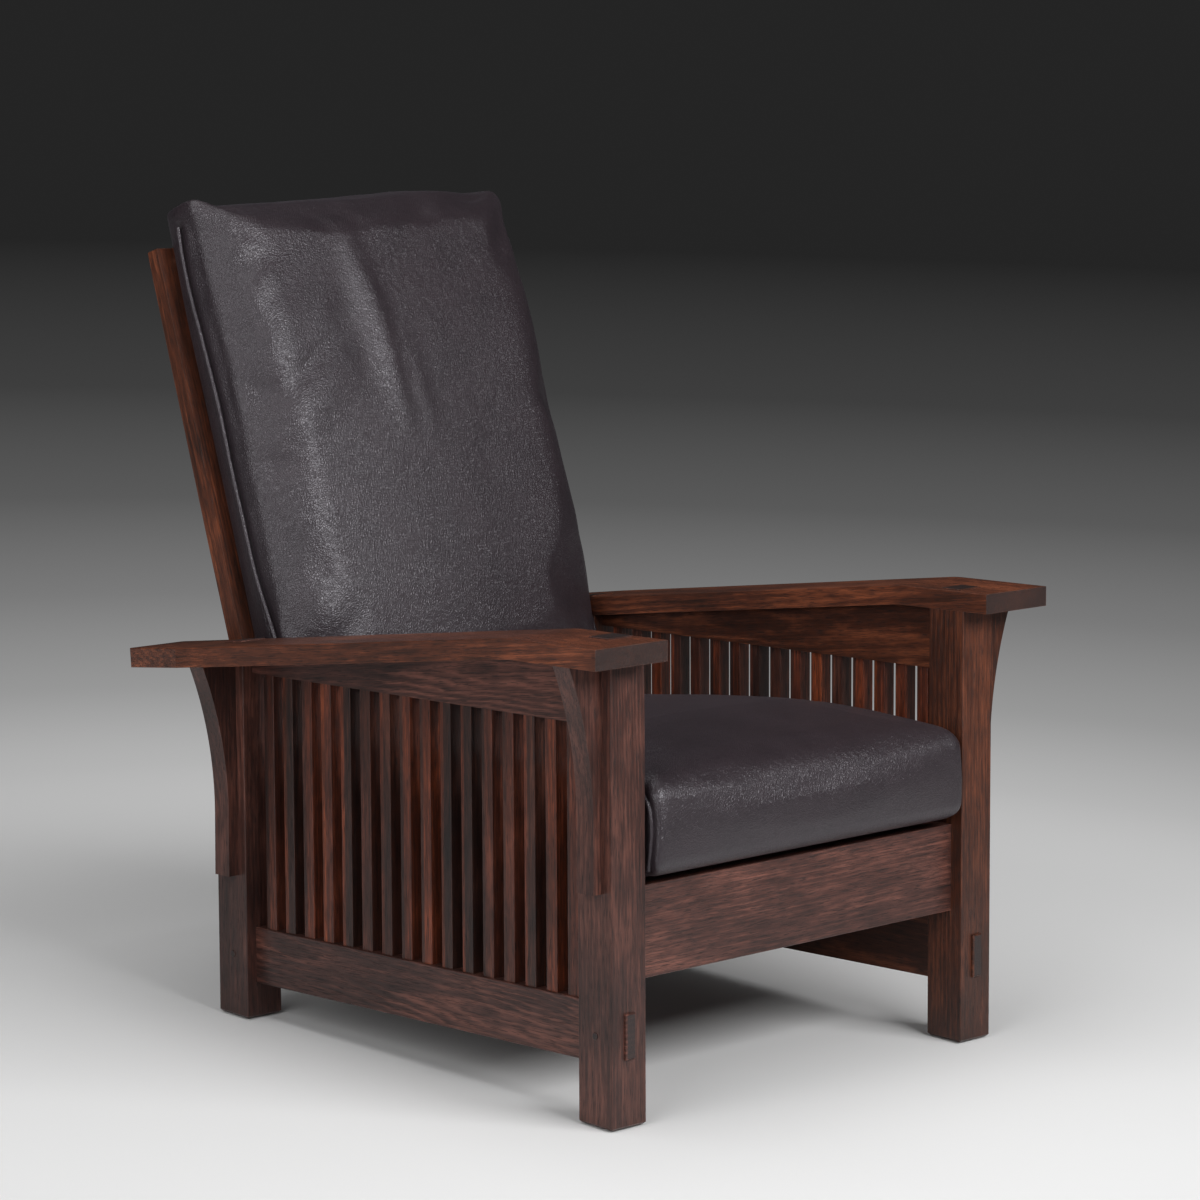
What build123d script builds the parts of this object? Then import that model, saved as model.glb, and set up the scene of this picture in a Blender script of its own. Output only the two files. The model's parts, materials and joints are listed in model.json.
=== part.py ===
"""Mission reclining armchair with drop arms, spindle sides and long corbels.

The chair is drawn square on a bench frame: posts upright, rails level, X = 0 the
plane of symmetry, Y = 0 the front face of the front posts, Z = 0 the floor under
that face. The rear legs are shorter, so the finished chair leans back: every
piece is turned about X by that lean and moved so that the origin lies on the
floor under the middle of the chair. +Y points to the back, the sitter's left is +X.
Sizes are in millimetres.
"""
import os
from math import atan, cos, degrees, radians, sin, tan

from build123d import *

# Base frame
frame_width = 692.0
wheelbase = 671.0
post_size = 57.0
rear_leg_drop = 29.0
foot_chamfer = 3.0
glide_radius = 14.0
glide_height = 2.0
edge_ease = 1.2

# Arms
arm_top = 590.0
arm_thickness = 25.4
arm_front_overhang = 38.0
arm_side_overhang = 62.5
arm_bend = 112.0
arm_drop_deg = 6.6
arm_bend_radius = 180.0
arm_rear_overhang = 134.0
arm_cant_length = 132.0
arm_cant_width = 28.0
arm_corner_radius = 6.0
post_tenon_x = 40.0
post_tenon_y = 32.0
post_tenon_proud = 1.5

# Side panels
side_rail_thickness = 25.4
side_rail_low = 76.7
side_rail_high = 150.8
rail_tenon_thickness = 16.0
rail_tenon_shoulder = 9.0
rail_tenon_proud = 4.0
rail_tenon_chamfer = 1.6
top_rail_low = 484.0
top_rail_tenon_depth = 15.0
top_rail_tenon_thickness = 12.0
top_rail_tenon_height = 12.0
spindle_count = 16
spindle_width = 19.0
spindle_thickness = 19.0
spindle_tenon = 8.0
spindle_shoulder_share = 0.125
pin_radius = 4.6
pin_proud = 1.0
pin_depth = 32.0
pin_round_share = 0.9

# Corbels under the arms
corbel_thickness = 28.0
corbel_height = 277.0
corbel_top_reach = 54.0
corbel_middle_reach = 24.6
corbel_middle_drop = 96.0
corbel_waist_reach = 15.0
corbel_waist_drop = 195.0
corbel_foot_reach = 16.0

# Seat rails, cleats and slats
seat_rail_thickness = 25.4
seat_rail_low = 174.0
seat_rail_high = 287.6
seat_rail_setback = 17.9
seat_tenon_depth = 24.0
seat_tenon_thickness = 12.0
seat_tenon_shoulder = 12.0
side_seat_rail_thickness = 16.0
side_seat_rail_high = 280.0
side_seat_tenon_depth = 17.0
side_seat_tenon_thickness = 9.0
rear_rail_high = 245.0
rear_rail_setback = 13.0
cleat_size = 24.0
slat_count = 9
slat_width = 50.0
slat_thickness = 13.6
slat_front_reach = 7.0
slat_rear_gap = 16.0
screw_radius = 2.2
screw_head_radius = 4.2
screw_head_height = 2.6
screw_length = 30.0
screws_per_cleat = 4

# Reclining back
hinge_inset = 11.0
hinge_z = 275.0
back_lean_deg = 17.5
back_side_gap = 3.0
stile_width = 32.0
stile_depth = 26.0
stile_top_depth = 20.0
stile_height = 780.0
back_bottom_rail = 88.0
back_bottom_rail_height = 50.0
back_slat_count = 5
back_slat_height = 52.0
back_slat_thickness = 12.0
back_slat_front = 12.0
back_slat_bow = 10.0
back_slat_tenon_depth = 14.0
back_slat_tenon_thickness = 8.0
back_slat_tenon_shoulder = 6.0
crest_height = 70.0
crest_below_top = 10.0

# Hinge bolts and adjusting pegs
bolt_radius = 5.0
bolt_in_post = 40.0
bolt_head_radius = 10.0
bolt_head_height = 5.0
washer_radius = 13.0
washer_thickness = 2.4
peg_radius = 8.0
peg_in_arm = 45.0
peg_knob_radius = 11.5
peg_knob_length = 16.0
peg_neck = 2.0
peg_hole_pitch = 28.0
peg_holes_ahead = 1
peg_holes_behind = 2

# Seat cushion
seat_side_gap = 6.0
seat_front = -9.0
seat_rear_gap = 12.0
seat_edge_low = 299.0
seat_edge_high = 427.0
seat_crown = 14.0
seat_corner = 26.0
seat_draw_in = 7.0
# Each row: place from front to rear, then width, low edge, high edge, rest and crown
seat_section_shares = (
    (0.0, 0.955, 0.2, 0.76, 0.1, 0.2),
    (0.03, 0.985, 0.06, 0.92, 0.4, 0.5),
    (0.14, 1.0, 0.0, 1.0, 0.9, 0.9),
    (0.3, 1.0, 0.0, 1.03, 0.97, 1.0),
    (0.55, 0.992, 0.0, 0.96, 0.97, 1.0),
    (0.88, 1.0, 0.0, 0.81, 0.9, 0.8),
    (0.975, 0.985, 0.06, 0.73, 0.4, 0.5),
    (1.0, 0.955, 0.2, 0.6, 0.1, 0.22),
)

# Back cushion, measured from the hinge and from the front of the stiles
back_cushion_side_gap = 8.0
back_cushion_low = 135.0
back_cushion_high = 826.0
back_cushion_depth = 104.0
back_cushion_depth_low = 98.0
back_cushion_crown = 17.0
back_cushion_corner = 40.0
back_cushion_rear_corner = 14.0
back_cushion_draw_in = 7.0
# Each row: place from low to high, then width, rear edge, front edge and crown
back_section_shares = (
    (0.0, 0.95, 0.24, 0.76, 0.2),
    (0.03, 0.985, 0.08, 0.88, 0.5),
    (0.14, 1.0, 0.0, 0.97, 0.9),
    (0.5, 0.992, 0.0, 1.0, 1.0),
    (0.88, 0.995, 0.0, 0.93, 0.9),
    (0.97, 0.975, 0.08, 0.76, 0.45),
    (1.0, 0.93, 0.2, 0.6, 0.15),
)

# Clearances
fit_gap = 0.1
running_gap = 0.05
soft_gap = 0.3
overrun = 60.0

# Derived places
half_frame = frame_width / 2
half_inside = half_frame - post_size
seat_half = half_inside - seat_side_gap
back_cushion_half = half_inside - back_cushion_side_gap
post_middle = half_frame - post_size / 2
rear_post_back = wheelbase + post_size
arm_rear_end = rear_post_back + arm_rear_overhang
arm_cant_start = arm_rear_end - arm_cant_length
hinge_y = wheelbase + hinge_inset
slat_front = post_size - slat_front_reach
slat_rear = wheelbase - slat_rear_gap
seat_rear = wheelbase - seat_rear_gap
lean_deg = degrees(atan(rear_leg_drop / wheelbase))
drop_slope = tan(radians(arm_drop_deg))
drop_share = 1 / cos(radians(arm_drop_deg))
arm_outer = half_frame + arm_side_overhang
rail_length = wheelbase - post_size
side_seat_rail_low = side_rail_high + fit_gap
rail_tenon_height = side_rail_high - side_rail_low - 2 * rail_tenon_shoulder
rail_tenon_middle = (side_rail_high + side_rail_low) / 2
spindle_gap = (rail_length - spindle_count * spindle_width) / (spindle_count + 1)
stile_outer = half_inside - back_side_gap
stile_inner = stile_outer - stile_width
back_slope = tan(radians(back_lean_deg))


def arm_line(y, below=0.0):
    """Height of the arm's top at y, or of a line parallel to it that far below."""
    bend = arm_bend - below * tan(radians(arm_drop_deg / 2))
    return arm_top - below - max(y - bend, 0.0) * drop_slope


def block(x0, x1, y0, y1, z0, z1):
    middle = Pos((x0 + x1) / 2, (y0 + y1) / 2, (z0 + z1) / 2)
    return middle * Box(abs(x1 - x0), abs(y1 - y0), abs(z1 - z0))


def side_prism(points, x0, x1):
    """Extrude a closed outline of (y, z) points from x0 to x1."""
    outline = make_face(Plane.YZ * Polyline(*points, close=True))
    return Pos(x0, 0, 0) * extrude(outline, amount=x1 - x0, dir=(1, 0, 0))


def face_inside(lines):
    """The face inside a closed run of lines and arcs."""
    edges = []
    for line in lines:
        edges += line.edges()
    return make_face(edges)


def rod(radius, x0, x1, y, z):
    """A round bar along X."""
    bar = Cylinder(radius, abs(x1 - x0), rotation=(0, 90, 0))
    return Pos((x0 + x1) / 2, y, z) * bar


def other_side(piece):
    return mirror(piece, about=Plane.YZ)


def below_arm(below):
    """Everything under a line that runs parallel to the arm's top."""
    bend = arm_bend - below * tan(radians(arm_drop_deg / 2))
    front = -arm_front_overhang - overrun
    rear = arm_rear_end + overrun
    points = [
        (front, -overrun),
        (front, arm_line(front, below)),
        (bend, arm_line(bend, below)),
        (rear, arm_line(rear, below)),
        (rear, -overrun),
    ]
    prism = side_prism(points, -arm_outer - overrun, arm_outer + overrun)
    return fillet(bend_edges(prism), arm_bend_radius)


def bend_edges(solid):
    """The edges along X where the arm's line bends."""
    edges = solid.edges().filter_by(Axis.X)
    return [edge for edge in edges if abs(edge.center().Y - arm_bend) < arm_thickness]


def post(front_y):
    """A right-hand post: foot level with the floor, shoulder and tenon at the arm."""
    body = block(-half_frame, -half_inside, front_y, front_y + post_size, -overrun, arm_top)
    floor = Plane.XY.rotated((lean_deg, 0, 0)).offset(glide_height)
    body = split(body, bisect_by=floor, keep=Keep.TOP)
    body = chamfer(body.faces().sort_by(Axis.Z)[0].edges(), foot_chamfer)
    body = fillet(body.edges().filter_by(Axis.Z), edge_ease)
    body &= below_arm(arm_thickness)
    middle_y = front_y + post_size / 2
    tenon = block(
        -post_middle - post_tenon_x / 2, -post_middle + post_tenon_x / 2,
        middle_y - post_tenon_y / 2, middle_y + post_tenon_y / 2,
        arm_line(front_y + post_size, arm_thickness + post_size), arm_top + post_tenon_proud,
    )
    tenon &= below_arm(-post_tenon_proud)
    rim = tenon.faces().sort_by(Axis.Z)[-1].edges()
    tenon = chamfer(rim, post_tenon_proud / 2)
    return body + tenon


def rail_tenon(grow=0.0):
    """The side rail's tenon, as long as the chair, or its mortise when grown."""
    ends = rail_tenon_proud if not grow else overrun
    return block(
        -post_middle - rail_tenon_thickness / 2 - grow,
        -post_middle + rail_tenon_thickness / 2 + grow,
        -ends, rear_post_back + ends,
        rail_tenon_middle - rail_tenon_height / 2 - grow,
        rail_tenon_middle + rail_tenon_height / 2 + grow,
    )


def top_rail_tenons(grow=0.0):
    depth = top_rail_tenon_depth + grow
    middle = top_rail_low + top_rail_tenon_height / 2
    return block(
        -post_middle - top_rail_tenon_thickness / 2 - grow,
        -post_middle + top_rail_tenon_thickness / 2 + grow,
        post_size - depth, wheelbase + depth,
        middle - top_rail_tenon_height / 2 - grow,
        middle + top_rail_tenon_height / 2 + grow,
    )


def cross_rail(face_y, low, high, grow=0.0):
    """A rail between left and right posts, its front face at face_y, with tenons."""
    middle_y = face_y + seat_rail_thickness / 2
    reach = half_inside + seat_tenon_depth + grow
    tenons = block(
        -reach, reach,
        middle_y - seat_tenon_thickness / 2 - grow,
        middle_y + seat_tenon_thickness / 2 + grow,
        low + seat_tenon_shoulder - grow, high - seat_tenon_shoulder + grow,
    )
    if grow:
        return tenons
    rail = block(-half_inside, half_inside, face_y, face_y + seat_rail_thickness, low, high)
    long_edges = rail.edges().filter_by(Axis.X)
    return fillet(long_edges, edge_ease) + tenons


def front_seat_rail(grow=0.0):
    return cross_rail(seat_rail_setback, seat_rail_low, seat_rail_high, grow)


def rear_seat_rail(grow=0.0):
    return cross_rail(wheelbase + rear_rail_setback, seat_rail_low, rear_rail_high, grow)


def side_seat_rail(grow=0.0):
    """The right-hand rail behind the spindles, from the bottom rail up to the seat."""
    outer = half_inside + side_seat_rail_thickness
    middle = half_inside + side_seat_rail_thickness / 2
    tenons = block(
        -middle - side_seat_tenon_thickness / 2 - grow,
        -middle + side_seat_tenon_thickness / 2 + grow,
        post_size - side_seat_tenon_depth - grow,
        wheelbase + side_seat_tenon_depth + grow,
        side_seat_rail_low + seat_tenon_shoulder - grow,
        side_seat_rail_high - seat_tenon_shoulder + grow,
    )
    if grow:
        return tenons
    rail = block(
        -outer, -half_inside, post_size, wheelbase, side_seat_rail_low, side_seat_rail_high
    )
    rail += tenons
    for screw in cleat_screws(fit_gap):
        rail -= screw
    return rail


def tenon_pins(grow=0.0):
    """Round pins through the right-hand posts into the side rail's tenons."""
    pins = []
    for front_y in (0.0, wheelbase):
        middle_y = front_y + post_size / 2
        pin = rod(
            pin_radius + grow, -half_frame - pin_proud, -half_frame + pin_depth + grow,
            middle_y, rail_tenon_middle,
        )
        if not grow:
            head = pin.faces().sort_by(Axis.X)[0].edges()
            pin = fillet(head, pin_proud * pin_round_share)
        pins.append(pin)
    return pins


def hinge_hole():
    return rod(
        bolt_radius + fit_gap, -half_inside + overrun, -half_inside - bolt_in_post - fit_gap,
        hinge_y, hinge_z,
    )


def finished_post(front_y, is_front):
    """A right-hand post with the mortises, pin holes and hinge hole it needs."""
    body = post(front_y)
    body -= rail_tenon(fit_gap)
    body -= top_rail_tenons(fit_gap)
    body -= side_seat_rail(fit_gap)
    body -= front_seat_rail(fit_gap) if is_front else rear_seat_rail(fit_gap)
    for pin in tenon_pins(fit_gap):
        body -= pin
    if not is_front:
        body -= hinge_hole()
    return body


def spindle_places():
    """The Y of each spindle's front edge, from the front post to the rear post."""
    pitch = spindle_width + spindle_gap
    return [post_size + spindle_gap + index * pitch for index in range(spindle_count)]


def spindle(front_y, grow=0.0):
    """One right-hand spindle with stub tenons, or only its grown tenons."""
    half = spindle_thickness / 2
    inset = spindle_width * spindle_shoulder_share
    tenon = block(
        -post_middle - half / 2 - grow, -post_middle + half / 2 + grow,
        front_y + inset - grow, front_y + spindle_width - inset + grow,
        side_rail_high - spindle_tenon - grow, top_rail_low + spindle_tenon + grow,
    )
    if grow:
        return tenon
    stick = block(
        -post_middle - half, -post_middle + half,
        front_y, front_y + spindle_width, side_rail_high, top_rail_low,
    )
    stick = fillet(stick.edges().filter_by(Axis.Z), edge_ease)
    return stick + tenon


def side_bottom_rail():
    half = side_rail_thickness / 2
    rail = block(
        -post_middle - half, -post_middle + half, post_size, wheelbase,
        side_rail_low, side_rail_high,
    )
    rail = fillet(rail.edges().filter_by(Axis.Y), edge_ease)
    tenon = rail_tenon()
    ends = tenon.faces().filter_by(Axis.Y).edges()
    rail += chamfer(ends, rail_tenon_chamfer)
    for front_y in spindle_places():
        rail -= spindle(front_y, fit_gap)
    for pin in tenon_pins(fit_gap):
        rail -= pin
    return rail


def side_top_rail():
    """The wedge between the level top of the spindles and the sloping arm."""
    half = side_rail_thickness / 2
    rail = block(
        -post_middle - half, -post_middle + half, post_size, wheelbase, top_rail_low, arm_top
    )
    rail &= below_arm(arm_thickness)
    rail += top_rail_tenons()
    for front_y in spindle_places():
        rail -= spindle(front_y, fit_gap)
    return rail


def peg_place(steps_back=0):
    """Y and Z of a peg hole: on the arm's middle line, behind the back's stiles."""
    lift = arm_top - arm_thickness / 2 * drop_share + arm_bend * drop_slope
    stand_off = (stile_depth / 2 + peg_radius + soft_gap) / cos(radians(back_lean_deg))
    start = hinge_y + stand_off + (lift - hinge_z) * back_slope
    y = start / (1 + drop_slope * back_slope) + steps_back * peg_hole_pitch
    return y, lift - y * drop_slope


def arm():
    """The right-hand arm: flat at the front, then bent down towards the back."""
    front = -arm_front_overhang
    low_bend = arm_bend - arm_thickness * tan(radians(arm_drop_deg / 2))
    tail = arm_thickness * sin(radians(arm_drop_deg))
    points = [
        (front, arm_top),
        (arm_bend, arm_top),
        (arm_rear_end, arm_line(arm_rear_end)),
        (arm_rear_end - tail, arm_line(arm_rear_end - tail, arm_thickness)),
        (low_bend, arm_top - arm_thickness),
        (front, arm_top - arm_thickness),
    ]
    board = side_prism(points, -arm_outer, -half_inside)
    board = fillet(bend_edges(board), arm_bend_radius)
    corner = Polyline(
        (-arm_outer, arm_cant_start),
        (-arm_outer + arm_cant_width, arm_rear_end),
        (-arm_outer + arm_cant_width, arm_rear_end + overrun),
        (-arm_outer - overrun, arm_rear_end + overrun),
        (-arm_outer - overrun, arm_cant_start),
        close=True,
    )
    board -= extrude(make_face(corner), amount=arm_top + overrun)
    rear = board.faces().sort_by(Axis.Y)[-1]
    uprights = rear.edges().filter_by(lambda edge: edge.bounding_box().size.Z > arm_thickness / 2)
    board = fillet(uprights, arm_corner_radius)
    top = board.faces().sort_by(lambda face: face.center().Z - arm_line(face.center().Y))
    rims = top[-1].edges() + top[-2].edges()
    rims = [edge for edge in rims if edge.length > 0 and not crosses_board(edge)]
    board = fillet(rims, edge_ease)
    for front_y in (0.0, wheelbase):
        middle_y = front_y + post_size / 2
        board -= block(
            -post_middle - post_tenon_x / 2 - fit_gap, -post_middle + post_tenon_x / 2 + fit_gap,
            middle_y - post_tenon_y / 2 - fit_gap, middle_y + post_tenon_y / 2 + fit_gap,
            top_rail_low, arm_top + overrun,
        )
    for step in range(-peg_holes_ahead, peg_holes_behind + 1):
        y, z = peg_place(step)
        depth = peg_in_arm + fit_gap
        board -= rod(peg_radius + running_gap, -half_inside + overrun, -half_inside - depth, y, z)
    return board


def crosses_board(edge):
    """True for an edge that runs across the board along X at a bend."""
    size = edge.bounding_box().size
    return size.X > 2 * arm_side_overhang - arm_thickness and size.Y < edge_ease


def corbel(front_y):
    """A right-hand corbel on the middle of a post's outer face."""
    middle_y = front_y + post_size / 2
    top = arm_line(middle_y, arm_thickness)
    face = -half_frame
    high = top + corbel_top_reach
    edge = [
        Line((face, high), (face - corbel_top_reach, high)),
        Line((face - corbel_top_reach, high), (face - corbel_top_reach, top)),
        ThreePointArc(
            (face - corbel_top_reach, top),
            (face - corbel_middle_reach, top - corbel_middle_drop),
            (face - corbel_waist_reach, top - corbel_waist_drop),
        ),
        Line(
            (face - corbel_waist_reach, top - corbel_waist_drop),
            (face - corbel_foot_reach, top - corbel_height),
        ),
        Line((face - corbel_foot_reach, top - corbel_height), (face, top - corbel_height)),
        Line((face, top - corbel_height), (face, high)),
    ]
    outline = Plane.XZ * face_inside(edge)
    piece = extrude(outline, amount=corbel_thickness / 2, both=True)
    piece = Pos(0, middle_y, 0) * piece
    return piece & below_arm(arm_thickness)


def cleat():
    """The right-hand cleat on the inner face of the side seat rail."""
    top = seat_deck_top() - slat_thickness
    bar = block(
        -half_inside, -half_inside + cleat_size, slat_front, slat_rear, top - cleat_size, top
    )
    for screw in cleat_screws(fit_gap):
        bar -= screw
    return bar


def seat_deck_top():
    return seat_rail_high + fit_gap


def cleat_screws(grow=0.0):
    """Countersunk screws through the right-hand cleat into the side seat rail."""
    z = seat_deck_top() - slat_thickness - cleat_size / 2
    span = slat_rear - slat_front
    screws = []
    for index in range(screws_per_cleat):
        y = slat_front + span * (index + 0.5) / screws_per_cleat
        face = -half_inside + cleat_size
        shank = rod(screw_radius + grow, face, face - screw_length, y, z)
        head = Cone(screw_radius + grow, screw_head_radius + grow, screw_head_height)
        head = Pos(face - screw_head_height / 2, y, z) * Rotation(0, 90, 0) * head
        screws.append(shank + head)
    return screws


def seat_slats():
    """Slats from side to side that rest on the cleats."""
    span = slat_rear - slat_front - slat_width
    reach = half_inside - fit_gap
    top = seat_deck_top()
    slats = []
    for index in range(slat_count):
        y = slat_front + span * index / (slat_count - 1)
        slat = block(-reach, reach, y, y + slat_width, top - slat_thickness, top)
        slats.append(fillet(slat.edges().filter_by(Axis.X), edge_ease))
    return slats


def place_back(piece):
    """Turn a piece that was drawn upright on the hinge line to the back's lean."""
    return Pos(0, hinge_y, hinge_z) * Rotation(-back_lean_deg, 0, 0) * piece


def back_slat(low, height, grow=0.0):
    """A bowed slat between the stiles, or its grown tenons."""
    middle = -back_slat_front + back_slat_thickness / 2
    reach = stile_inner + back_slat_tenon_depth + grow
    tenon = block(
        -reach, reach,
        middle - back_slat_tenon_thickness / 2 - grow,
        middle + back_slat_tenon_thickness / 2 + grow,
        low + back_slat_tenon_shoulder - grow, low + height - back_slat_tenon_shoulder + grow,
    )
    inside = block(
        -stile_inner, stile_inner, -stile_depth, stile_depth,
        low + back_slat_tenon_shoulder - fit_gap, low + height - back_slat_tenon_shoulder + fit_gap,
    )
    tenon -= inside
    if grow:
        return tenon
    front = -back_slat_front
    rear = front + back_slat_thickness
    outline = face_inside([
        ThreePointArc((-stile_inner, front), (0, front + back_slat_bow), (stile_inner, front)),
        Line((stile_inner, front), (stile_inner, rear)),
        ThreePointArc((stile_inner, rear), (0, rear + back_slat_bow), (-stile_inner, rear)),
        Line((-stile_inner, rear), (-stile_inner, front)),
    ])
    return Pos(0, 0, low) * extrude(outline, amount=height) + tenon


def back_slat_places():
    """Low edge and height of the bottom rail, the slats and the crest rail."""
    crest_low = stile_height - crest_below_top - crest_height
    first = back_bottom_rail + back_bottom_rail_height
    gap = (crest_low - first - back_slat_count * back_slat_height) / (back_slat_count + 1)
    pitch = back_slat_height + gap
    places = [(back_bottom_rail, back_bottom_rail_height)]
    places += [(first + gap + index * pitch, back_slat_height) for index in range(back_slat_count)]
    places.append((crest_low, crest_height))
    return places


def back_stile():
    """The right-hand stile, rounded round its hinge and tapered to the top."""
    half = stile_depth / 2
    taper = (stile_depth - stile_top_depth) / 2
    board = side_prism(
        [
            (-half, 0), (-half, stile_height / 2), (-half + taper, stile_height),
            (half - taper, stile_height), (half, stile_height / 2), (half, 0),
        ],
        -stile_outer, -stile_inner,
    )
    board += rod(half, -stile_outer, -stile_inner, 0, 0)
    tops = board.faces().sort_by(Axis.Z)[-1].edges()
    board = fillet(tops, edge_ease * 2)
    for low, height in back_slat_places():
        board -= back_slat(low, height, fit_gap)
    board -= rod(bolt_radius + running_gap, -stile_outer - overrun, -stile_inner + overrun, 0, 0)
    return board


def hinge_bolt():
    """The right-hand bolt that the back turns on, driven into the rear post."""
    head_face = -stile_inner + soft_gap
    shank = rod(bolt_radius, -half_inside - bolt_in_post, head_face, hinge_y, hinge_z)
    head = rod(bolt_head_radius, head_face, head_face + bolt_head_height, hinge_y, hinge_z)
    rim = head.faces().sort_by(Axis.X)[-1].edges()
    return shank + fillet(rim, bolt_head_height / 3)


def hinge_washer():
    ring = rod(washer_radius, -half_inside, -half_inside + washer_thickness, hinge_y, hinge_z)
    return ring - rod(bolt_radius + fit_gap, -half_frame, 0, hinge_y, hinge_z)


def adjusting_peg():
    """The right-hand peg in the arm's hole: its shaft, and the turned knob on its end."""
    y, z = peg_place()
    length = half_inside + peg_in_arm - stile_inner + peg_neck
    shaft = Pos(0, 0, length / 2) * Cylinder(peg_radius, length)
    shaft = chamfer(shaft.faces().sort_by(Axis.Z)[0].edges(), edge_ease)
    outline = face_inside([
        Polyline((0, length), (peg_radius, length)),
        ThreePointArc(
            (peg_radius, length),
            (peg_knob_radius, length + peg_knob_length / 2),
            (peg_radius, length + peg_knob_length),
        ),
        Polyline((peg_radius, length + peg_knob_length), (0, length + peg_knob_length)),
        Line((0, length + peg_knob_length), (0, length)),
    ])
    knob = revolve(Plane.XZ * outline, Axis.Z)
    place = Pos(-half_inside - peg_in_arm, y, z) * Rotation(0, 90, 0)
    return Compound([place * shaft, place * knob])


def pillow_section(half_width, low, high, crown, under, draw_in, corners):
    """A closed outline in (x, z): crowned top and bottom, sides drawn in."""
    middle = (low + high) / 2
    outline = face_inside([
        ThreePointArc((-half_width, low), (0, low - under), (half_width, low)),
        ThreePointArc((half_width, low), (half_width - draw_in, middle), (half_width, high)),
        ThreePointArc((half_width, high), (0, high + crown), (-half_width, high)),
        ThreePointArc((-half_width, high), (-half_width + draw_in, middle), (-half_width, low)),
    ])
    low_corner, high_corner = corners
    points = outline.vertices().sort_by(Axis.Y)
    outline = fillet(points[:2], low_corner)
    points = outline.vertices().sort_by(Axis.Y)
    return fillet(points[-2:], high_corner)


def seat_cushion():
    """A loose box cushion with a rounded front, crowned top and drawn-in sides."""
    deck = seat_deck_top() + soft_gap
    length = seat_rear - seat_front
    tall = seat_edge_high - seat_edge_low
    sections = []
    for place, width_share, low_share, high_share, rest_share, crown_share in seat_section_shares:
        low = seat_edge_low + tall * low_share
        high = seat_edge_low + tall * high_share
        corner = seat_corner * (high_share - low_share)
        outline = pillow_section(
            seat_half * width_share, low, high, seat_crown * crown_share,
            (low - deck) * rest_share, seat_draw_in, (corner, corner),
        )
        y = seat_front + length * place
        sections.append(Pos(0, y, 0) * (Plane.XZ * outline))
    below = block(
        -half_inside, half_inside, seat_front - overrun, wheelbase, deck - overrun, deck
    )
    return loft(sections) - below


def back_cushion():
    """A loose back cushion, drawn upright: crowned front, rounded top and bottom."""
    rest = -stile_depth / 2 - soft_gap
    length = back_cushion_high - back_cushion_low
    sections = []
    for place, width_share, rear_share, front_share, crown_share in back_section_shares:
        depth = back_cushion_depth_low
        depth += (back_cushion_depth - back_cushion_depth_low) * place
        near = rest - depth * rear_share
        far = rest - depth * front_share
        thick_share = front_share - rear_share
        corners = (back_cushion_rear_corner * thick_share, back_cushion_corner * thick_share)
        outline = pillow_section(
            back_cushion_half * width_share, -near, -far, back_cushion_crown * crown_share,
            back_slat_bow * crown_share, back_cushion_draw_in, corners,
        )
        z = back_cushion_low + length * place
        sections.append(Pos(0, 0, z) * Rotation(180, 0, 0) * outline)
    return loft(sections) - behind_back_cushion()


def behind_back_cushion():
    """The space that the slats and stiles fill, drawn upright, with the soft gap."""
    slat_face = -back_slat_front - soft_gap
    stile_face = -stile_depth / 2 - soft_gap
    step = stile_inner - soft_gap
    outline = face_inside([
        ThreePointArc((-step, slat_face), (0, slat_face + back_slat_bow), (step, slat_face)),
        Polyline(
            (step, slat_face), (step, stile_face), (half_inside, stile_face),
            (half_inside, overrun), (-half_inside, overrun), (-half_inside, stile_face),
            (-step, stile_face), (-step, slat_face),
        ),
    ])
    return extrude(outline, amount=stile_height + overrun)


def lean(piece):
    """Turn a bench-frame piece to the way the chair stands on its shorter rear legs."""
    return Rotation(-lean_deg, 0, 0) * piece


def foot_glides(feet):
    """A round glide under the middle of each foot."""
    glides = []
    for foot in feet:
        spot = foot.faces().sort_by(Axis.Z)[0].center()
        disc = Pos(spot.X, spot.Y, glide_height / 2) * Cylinder(glide_radius, glide_height)
        rim = disc.faces().sort_by(Axis.Z)[0].edges()
        glides.append(chamfer(rim, glide_height / 4))
    return glides


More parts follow.
